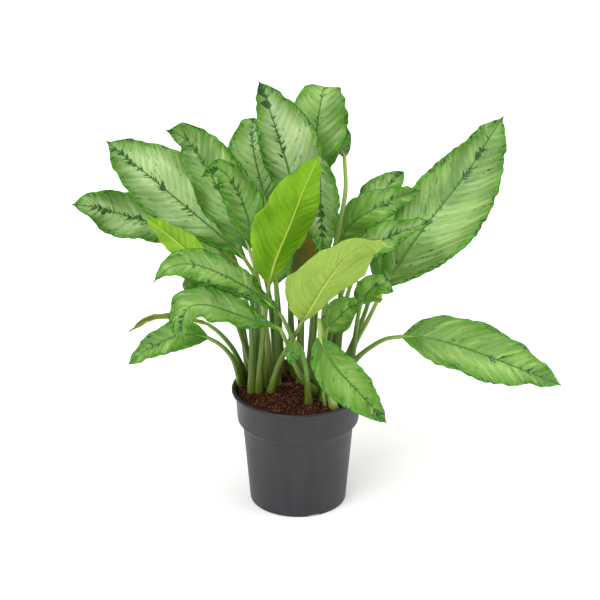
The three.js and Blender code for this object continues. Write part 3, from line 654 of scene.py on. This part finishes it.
def potMaterial():
    material, tree, shader = newMaterial("grower's pot, injection moulded polypropylene")  # matt, mottled
    place = addNode(tree, "ShaderNodeTexCoord")
    stretch = addNode(tree, "ShaderNodeMapping",
                      {"Scale": (1, 1, 0.08)}, {"Vector": place.outputs["Object"]})
    # flow marks 20 mm apart
    flow = addNode(tree, "ShaderNodeTexNoise", {"Scale": 45, "Detail": 3}, {"Vector": stretch})
    # 0.6 mm grain
    grain = addNode(tree, "ShaderNodeTexNoise",
                    {"Scale": 1600, "Detail": 2}, {"Vector": place.outputs["Object"]})
    dust = addNode(tree, "ShaderNodeTexNoise",
                   {"Scale": 28, "Detail": 6, "Roughness": 0.7}, {"Vector": place.outputs["Object"]})
    flowMask = addNode(tree, "ShaderNodeMapRange", {1: 0.35, 2: 0.65}, {0: flow})
    colour = addNode(tree, "ShaderNodeMix",
                     {"data_type": "RGBA", 6: linear("#353338"), 7: linear("#3B393E")}, {0: flowMask})
    dustMask = addNode(tree, "ShaderNodeMapRange", {1: 0.6, 2: 0.85, 3: 0, 4: 0.35}, {0: dust})
    dusty = addNode(tree, "ShaderNodeMix",
                    {"data_type": "RGBA", 7: linear("#524D4B")}, {0: dustMask, 6: colour.outputs[2]})
    tree.links.new(dusty.outputs[2], shader.inputs["Base Color"])
    rough = addNode(tree, "ShaderNodeMapRange", {1: 0.3, 2: 0.7, 3: 0.4, 4: 0.52}, {0: dust})
    tree.links.new(rough.outputs[0], shader.inputs["Roughness"])
    bump = addNode(tree, "ShaderNodeBump", {"Strength": 0.12, "Distance": 0.0003}, {"Height": grain})
    tree.links.new(bump.outputs[0], shader.inputs["Normal"])
    shader.inputs["IOR"].default_value = 1.49
    return material


def cutAway(piece, cutter):
    cut = piece.modifiers.new("cut", "BOOLEAN")
    cut.object = cutter
    cut.solver = "EXACT"
    applyModifiers(piece)
    bpy.data.objects.remove(cutter)


def onCircle(radius, turn):  # a place on the ground at a distance in mm
    return (math.cos(turn) * radius * mm, math.sin(turn) * radius * mm, 0)


def makePot(shape):
    low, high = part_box("pot")
    wide = (high.x - low.x) / 2 / mm / shape["lipRadius"]
    tall = (high.z - low.z) / mm / shape["height"]
    outline = [(r * wide, z * tall) for r, z in shape["outside"] + shape["inside"]]
    clearSelection()
    radius, height = outline[0]
    bpy.ops.mesh.primitive_circle_add(vertices=shape["sides"], radius=radius * mm, fill_type="NGON")
    pot = bpy.context.object
    pot.name = "grown_pot"
    bpy.ops.object.mode_set(mode="EDIT")
    bpy.ops.mesh.select_all(action="SELECT")
    bpy.ops.mesh.flip_normals()  # the underside looks down
    bpy.ops.mesh.select_mode(type="EDGE")
    bpy.ops.mesh.select_all(action="DESELECT")
    bpy.ops.mesh.select_non_manifold()
    for nextRadius, nextHeight in outline[1:]:
        bpy.ops.mesh.extrude_edges_move(TRANSFORM_OT_translate={"value": (0, 0, (nextHeight - height) * mm)})
        scale = nextRadius / radius
        bpy.ops.transform.resize(value=(scale, scale, 1))
        radius, height = nextRadius, nextHeight
    bpy.ops.mesh.edge_face_add()  # inner floor
    bpy.ops.mesh.select_all(action="SELECT")
    bpy.ops.mesh.normals_make_consistent(inside=False)
    bpy.ops.object.mode_set(mode="OBJECT")
    for i in range(shape["notches"]):
        turn = math.radians(shape["notchTurn"] - 90 + 360 / shape["notches"] * i)
        clearSelection()
        bpy.ops.mesh.primitive_cube_add(
            size=1, rotation=(0, 0, turn), location=onCircle(shape["notchCircle"], turn),
            scale=(shape["notchDepth"] * mm, shape["notchWidth"] * mm, 2 * shape["notchHeight"] * mm))
        cutAway(pot, bpy.context.object)
    for i in range(shape["holes"]):
        turn = 2 * math.pi / shape["holes"] * i
        clearSelection()
        bpy.ops.mesh.primitive_cylinder_add(
            vertices=32, radius=shape["holeRadius"] * mm, depth=shape["holeDepth"] * mm,
            location=onCircle(shape["holeCircle"], turn))
        cutAway(pot, bpy.context.object)
    makeActive(pot)
    bpy.ops.object.shade_smooth_by_angle(angle=math.radians(40))
    pot.data.materials.clear()
    pot.data.materials.append(potMaterial())
    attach(pot, "root")
    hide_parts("pot")
    return pot


soilShape = {
    "wall": [(3.4, 66.8), (118.4, 77), (129, 84.5), (174, 86.8)],  # heights and radii inside the pot
    "wallGap": 0.4, "brim": 170, "topRadius": 86, "floorShare": 0.3,
    "top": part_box("soil")[1].z / mm, "crown": 5, "edgeDrop": 0.6,
    "coarseLump": 16, "fineLump": 5, "lumpHeight": 1.54,
    "strewn": 83, "wallReach": 86.5, "crumbs": 2800, "fibres": 260, "chips": 240,
}


def soilMaterial(name, dark, mid, light, scale):
    material, tree, shader = newMaterial(name)
    place = addNode(tree, "ShaderNodeTexCoord")
    clumps = addNode(tree, "ShaderNodeTexNoise",
                     {"Scale": scale, "Detail": 5, "Roughness": 0.7}, {"Vector": place.outputs["Object"]})
    ramp = addNode(tree, "ShaderNodeValToRGB", {}, {0: clumps})
    setRamp(ramp.color_ramp, [(0.34, dark), (0.5, mid), (0.68, light)])
    tree.links.new(ramp.outputs[0], shader.inputs["Base Color"])
    bump = addNode(tree, "ShaderNodeBump", {"Strength": 0.6, "Distance": 0.0008}, {"Height": clumps})
    tree.links.new(bump.outputs[0], shader.inputs["Normal"])
    shader.inputs["Roughness"].default_value = 0.85
    shader.inputs["Specular IOR Level"].default_value = 0.25
    return material


def soilHeight(x, y, shape):  # height of the crumbly surface in mm
    share = math.hypot(x, y) / shape["topRadius"]
    coarse = noise.noise(Vector((x / shape["coarseLump"], y / shape["coarseLump"], 1)))
    fine = noise.noise(Vector((x / shape["fineLump"], y / shape["fineLump"], 4)))
    rounded = shape["crown"] * (1 - share ** 2) - shape["edgeDrop"] * share ** 6
    return shape["top"] + rounded + (coarse * 1.8 + fine * 1.2) * shape["lumpHeight"]


def wallRadius(height, shape):  # how far out the root ball reaches, in mm
    heights, radii = zip(*shape["wall"])
    return np.interp(height, heights, radii) - shape["wallGap"]


def soilPlace(x, y, z, shape):  # where a point of a unit ball goes: the top, the wall or the floor
    share = min(1, math.acos(min(1, abs(z))) / (math.pi / 2))  # 0 at a pole, 1 at the widest ring
    floor = shape["wall"][0][0]
    wallShare = 1 - shape["floorShare"]
    onTop = z >= -1e-6
    deep = 1 - share
    if onTop:
        height = shape["brim"]
        radius = wallRadius(height + 1, shape) * share
    elif deep < wallShare:
        height = shape["brim"] - deep / wallShare * (shape["brim"] - floor)
        radius = wallRadius(height, shape)
    else:
        height = floor
        radius = wallRadius(height, shape) * (1 - deep) / shape["floorShare"]
    away = math.hypot(x, y)
    px, py = (x / away * radius, y / away * radius) if away > 1e-6 else (0, 0)
    return Vector((px, py, soilHeight(px, py, shape) if onTop else height)) * mm


def makeSoil(shape):
    clearSelection()
    bpy.ops.mesh.primitive_uv_sphere_add(segments=160, ring_count=96, radius=1)
    ball = bpy.context.object
    for vertex in ball.data.vertices:
        vertex.co = soilPlace(*vertex.co, shape)
    ball.data.shade_smooth()
    ball.data.materials.append(soilMaterial("coir and peat mix, moist", "#140B07", "#3A2018", "#6E4232", 240))
    crumbCoir = soilMaterial("coir crumbs", "#1C0E08", "#54301F", "#96624A", 300)
    barkChip = soilMaterial("bark chips", "#1A0F0A", "#4A2C1E", "#8A5C40", 180)
    coirFibre = soilMaterial("coir fibres", "#7A5638", "#A8825C", "#CDB088", 400)
    crumbs = scatter("crumbs", "crumb", shape["crumbs"], (1.4, 4.2), (1, 0.8, 0.65), crumbCoir, shape)
    chips = scatter("chips", "chip", shape["chips"], (3, 6), (1, 0.55, 0.28), barkChip, shape)
    fibres = scatter("fibres", "fibre", shape["fibres"], (5, 12), (1, 1, 1), coirFibre, shape)
    soil = joinPieces([ball, crumbs, chips, fibres], "grown_soil")
    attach(soil, "root")
    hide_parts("soil")
    return soil


def seedPiece(kind):  # one small shape, copied later with its own turn, size and dents
    clearSelection()
    if kind == "fibre":
        bpy.ops.mesh.primitive_cylinder_add(vertices=4, radius=0.03, depth=1, rotation=(0, math.pi / 2, 0))
        bpy.ops.object.transform_apply(location=False, rotation=True, scale=False)
        bpy.ops.object.mode_set(mode="EDIT")
        bpy.ops.mesh.select_all(action="SELECT")
        bpy.ops.mesh.subdivide(number_cuts=1)
        bpy.ops.object.mode_set(mode="OBJECT")
    else:
        bpy.ops.mesh.primitive_ico_sphere_add(subdivisions=1, radius=0.5)
    return bpy.context.object


# strews copies of one small piece over the soil; sizes are in mm
def scatter(name, kind, count, sizes, squash, material, shape):
    dice = random.Random(name)
    piece = seedPiece(kind)
    piece.name = name
    points = [v.co.copy() for v in piece.data.vertices]
    copies = piece.modifiers.new("copies", "ARRAY")
    copies.count = count
    copies.use_relative_offset = False
    copies.use_constant_offset = True
    applyModifiers(piece)
    placed = []
    for _ in range(count):
        away, turn = shape["strewn"] * math.sqrt(dice.random()), dice.random() * 2 * math.pi
        x, y = away * math.cos(turn), away * math.sin(turn)
        size = dice.uniform(*sizes) * dice.uniform(0.7, 1.3)
        ahead = Vector((dice.uniform(-1, 1), dice.uniform(-1, 1), dice.uniform(-0.4, 0.4))).normalized()
        swing = ahead.cross(Vector((0, 0, 1))).normalized()
        lift = swing.cross(ahead)
        loose = kind == "fibre"
        base = soilHeight(x, y, shape) + (1.2 if loose else 0.25 * size)
        for point in points:
            dent = 1 if loose else 1 + dice.uniform(-0.28, 0.28)
            bow = (0.25 - point.x ** 2) * size * 0.35 if loose else 0
            local = ahead * point.x * squash[0] + swing * point.y * squash[1] + lift * point.z * squash[2]
            spot = Vector((x, y, base + bow)) + local * size * dent
            reach = math.hypot(spot.x, spot.y)
            if reach > shape["wallReach"]:
                spot.x, spot.y = spot.x * shape["wallReach"] / reach, spot.y * shape["wallReach"] / reach
            placed.append(spot * mm)
    piece.data.vertices.foreach_set("co", np.array(placed).ravel())
    piece.data.materials.append(material)
    return piece


shootShape = {"footShare": 0.06, "intoSoil": 6, "smoothing": 2}  # its foot is pulled into the soil


def makeShoot(name, material):  # a short sheathed shoot, rounded from its CAD shape
    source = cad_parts[name]
    shoot = source.copy()
    shoot.data = source.data.copy()
    shoot.parent = None
    for key in list(shoot.keys()):
        del shoot[key]
    bpy.context.collection.objects.link(shoot)
    shoot.name = name.replace("cane_", "shoot_")
    makeActive(shoot)
    bpy.ops.object.mode_set(mode="EDIT")
    bpy.ops.mesh.select_all(action="SELECT")
    bpy.ops.mesh.remove_doubles(threshold=1e-5)
    bpy.ops.object.mode_set(mode="OBJECT")
    rounded = shoot.modifiers.new("round", "SUBSURF")
    rounded.levels = rounded.render_levels = shootShape["smoothing"]
    applyModifiers(shoot)
    low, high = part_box(name)
    heights = [(v.co.z - low.z) / (high.z - low.z) for v in shoot.data.vertices]
    for vertex, share in zip(shoot.data.vertices, heights):
        if share < shootShape["footShare"]:
            vertex.co.z -= shootShape["intoSoil"] * mm
    storeReadings(shoot, [(v.co.x * 900, v.co.y * 900, v.co.z * 30) for v in shoot.data.vertices],
                  [(share, 0.35, 1) for share in heights])
    shoot.data.materials.clear()
    shoot.data.materials.append(material)
    shoot.data.shade_smooth()
    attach(shoot, "root")
    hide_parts(name)


def aimAt(piece, target):
    piece.rotation_euler = (Vector(target) - piece.location).to_track_quat("-Z", "Y").to_euler()


def addLamp(name, direction, strength, width):
    lamp = bpy.data.lights.new(name, "SUN")
    lamp.energy = strength
    lamp.angle = math.radians(width)
    piece = bpy.data.objects.new(name, lamp)
    piece.location = Vector(direction) * 3
    bpy.context.collection.objects.link(piece)
    aimAt(piece, (0, 0, 0))


def makeStudio(look):
    camera = bpy.data.objects.new("camera", bpy.data.cameras.new("camera"))
    camera.data.lens = look["lens"]
    camera.data.sensor_width = look["sensor"]
    tilt = math.radians(look["elevation"])
    aim = Vector(look["aim"])
    camera.location = aim + Vector((0, -math.cos(tilt), math.sin(tilt))) * look["distance"]
    aimAt(camera, aim)
    bpy.context.collection.objects.link(camera)
    bpy.context.scene.camera = camera

    clearSelection()
    bpy.ops.mesh.primitive_plane_add(size=look["floorSize"])
    floor = bpy.context.object
    floor.name = "floor"
    material, tree, shader = newMaterial("matt white paper sweep")  # bright, no gloss
    shader.inputs["Base Color"].default_value = linear("#FAFAFA")
    shader.inputs["Emission Color"].default_value = (1, 1, 1, 1)
    shader.inputs["Emission Strength"].default_value = look["floorGlow"]  # the sweep is lit from behind too
    shader.inputs["Roughness"].default_value = 0.9
    shader.inputs["Specular IOR Level"].default_value = 0.1
    floor.data.materials.append(material)

    world = bpy.data.worlds.new("soft white room")
    world.use_nodes = True
    world.node_tree.nodes["Background"].inputs["Color"].default_value = (1, 1, 1, 1)
    world.node_tree.nodes["Background"].inputs["Strength"].default_value = look["worldLight"]
    bpy.context.scene.world = world
    for name, (direction, strength, width) in look["lamps"].items():
        addLamp(name, direction, strength, width)
    bpy.context.scene.view_settings.view_transform = "Standard"
    bpy.context.scene.view_settings.look = "Medium High Contrast"


makeStudio(studio)
print("studio ready")
makePot(potShape)
print("pot made")
makeSoil(soilShape)
print("soil made")
upper = bladeUpperMaterial(leafLook)
under = bladeUnderMaterial(leafLook)
stalk = stalkMaterial(leafLook)
leafNames = sorted(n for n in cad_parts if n.startswith("leaf_"))
for seed, name in enumerate(leafNames, 1):
    makeLeaf(name, seed, leafShape, upper, under, stalk)
print(len(leafNames), "leaves made")
for name in sorted(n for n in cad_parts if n.startswith("cane_")):
    makeShoot(name, stalk)
print("shoots made")
